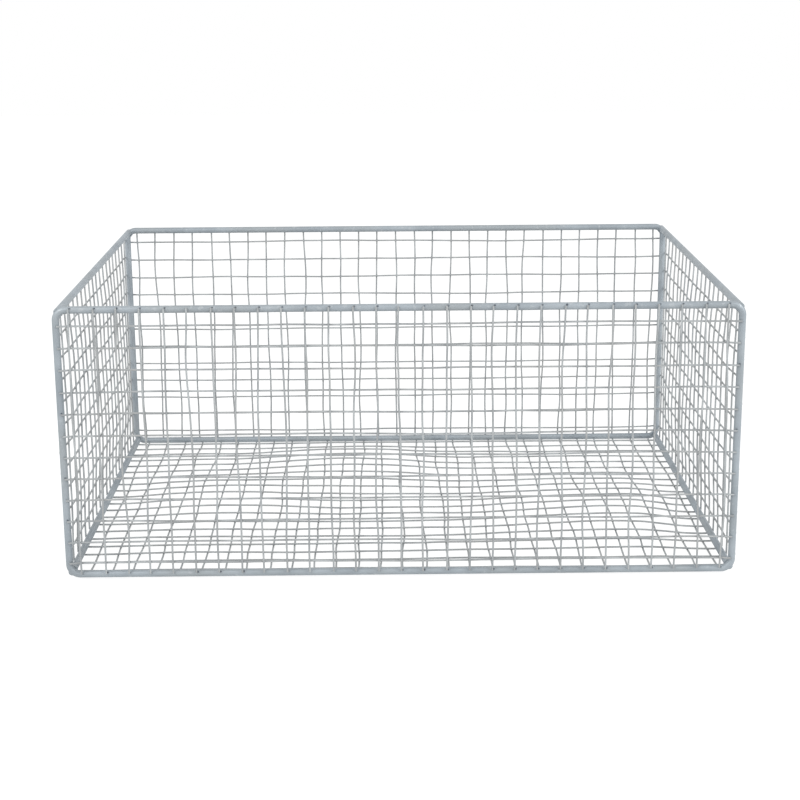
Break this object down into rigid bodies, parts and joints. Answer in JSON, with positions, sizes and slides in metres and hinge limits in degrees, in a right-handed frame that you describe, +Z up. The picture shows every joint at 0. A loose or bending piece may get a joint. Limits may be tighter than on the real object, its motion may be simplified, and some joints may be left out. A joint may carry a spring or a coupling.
{
  "type": "wire locker basket",
  "caption": "Open-topped rectangular basket: a frame of round steel rod with wire mesh welded on the outsides of its four walls and floor.",
  "frame": {"origin": "under the middle of the basket, on the plane it stands on", "axes": "+X along the width to the right, +Y from the front wall to the back wall, +Z up"},
  "size_m": [0.5602, 0.4112, 0.2316],
  "materials": {
    "frame_rod": "satin light blue-grey coating on round steel rod",
    "mesh_wire": "satin grey coating on thin steel wire, a little darker than the rods"
  },
  "bodies": {
    "root": {"front_ring": "frame_rod", "back_ring": "frame_rod", "top_left_rail": "frame_rod", "top_right_rail": "frame_rod", "bottom_left_rail": "frame_rod", "bottom_right_rail": "frame_rod", "front_upright_wires": "mesh_wire", "back_upright_wires": "mesh_wire", "left_upright_wires": "mesh_wire", "right_upright_wires": "mesh_wire", "floor_cross_wires": "mesh_wire", "floor_depth_wires": "mesh_wire", "level_wires_01": "mesh_wire", "level_wires_02": "mesh_wire", "level_wires_03": "mesh_wire", "level_wires_04": "mesh_wire", "level_wires_05": "mesh_wire", "level_wires_06": "mesh_wire", "level_wires_07": "mesh_wire", "level_wires_08": "mesh_wire", "level_wires_09": "mesh_wire", "level_wires_10": "mesh_wire", "level_wires_11": "mesh_wire", "level_wires_12": "mesh_wire"}
  },
  "joints": []
}
